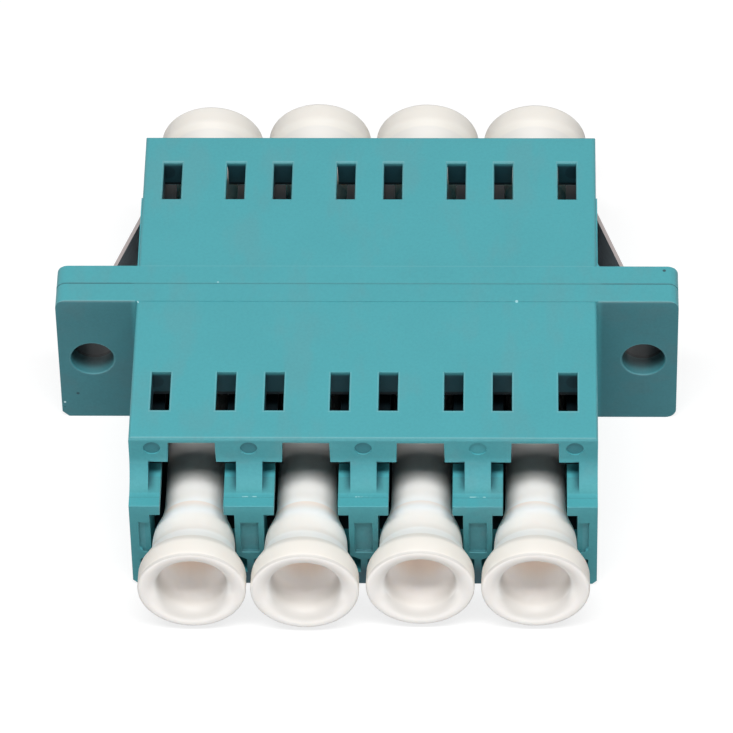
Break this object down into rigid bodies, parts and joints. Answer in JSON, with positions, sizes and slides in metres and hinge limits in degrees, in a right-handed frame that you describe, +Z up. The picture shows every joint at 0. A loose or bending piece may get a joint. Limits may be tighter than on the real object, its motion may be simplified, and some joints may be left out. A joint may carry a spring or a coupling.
{
  "type": "lc fibre adapter",
  "caption": "Fibre-optic connector adapter with a row of ports at each end, a screw flange, side spring clips and pull-off dust caps.",
  "frame": {"origin": "on the surface the adapter lies on, under the middle of the plane where the two housing halves are welded", "axes": "+X to the right across the ports, +Y from the front ports to the rear ports, +Z up to the latch side"},
  "size_m": [0.0346, 0.0354, 0.0093],
  "materials": {
    "housing": "fine satin, aqua",
    "cap": "soft natural white",
    "sleeve": "ground white ceramic",
    "clip": "plain stainless strip"
  },
  "bodies": {
    "adapter": {"housing_front": "housing", "housing_rear": "housing", "split_sleeve_1": "sleeve", "split_sleeve_2": "sleeve", "split_sleeve_3": "sleeve", "split_sleeve_4": "sleeve", "side_clip_left": "clip", "side_clip_right": "clip"},
    "front_cap_1": {"dust_cap_front_1": "cap"},
    "front_cap_2": {"dust_cap_front_2": "cap"},
    "front_cap_3": {"dust_cap_front_3": "cap"},
    "front_cap_4": {"dust_cap_front_4": "cap"},
    "rear_cap_1": {"dust_cap_rear_1": "cap"},
    "rear_cap_2": {"dust_cap_rear_2": "cap"},
    "rear_cap_3": {"dust_cap_rear_3": "cap"},
    "rear_cap_4": {"dust_cap_rear_4": "cap"}
  },
  "joints": [
    {"name": "front_cap_1_pull", "type": "slide", "parent": "adapter", "child": "front_cap_1", "axis": [0, -1, 0], "range_m": [0, 0.0125]},
    {"name": "front_cap_2_pull", "type": "slide", "parent": "adapter", "child": "front_cap_2", "axis": [0, -1, 0], "range_m": [0, 0.0125]},
    {"name": "front_cap_3_pull", "type": "slide", "parent": "adapter", "child": "front_cap_3", "axis": [0, -1, 0], "range_m": [0, 0.0125]},
    {"name": "front_cap_4_pull", "type": "slide", "parent": "adapter", "child": "front_cap_4", "axis": [0, -1, 0], "range_m": [0, 0.0125]},
    {"name": "rear_cap_1_pull", "type": "slide", "parent": "adapter", "child": "rear_cap_1", "axis": [0, 1, 0], "range_m": [0, 0.0125]},
    {"name": "rear_cap_2_pull", "type": "slide", "parent": "adapter", "child": "rear_cap_2", "axis": [0, 1, 0], "range_m": [0, 0.0125]},
    {"name": "rear_cap_3_pull", "type": "slide", "parent": "adapter", "child": "rear_cap_3", "axis": [0, 1, 0], "range_m": [0, 0.0125]},
    {"name": "rear_cap_4_pull", "type": "slide", "parent": "adapter", "child": "rear_cap_4", "axis": [0, 1, 0], "range_m": [0, 0.0125]}
  ]
}
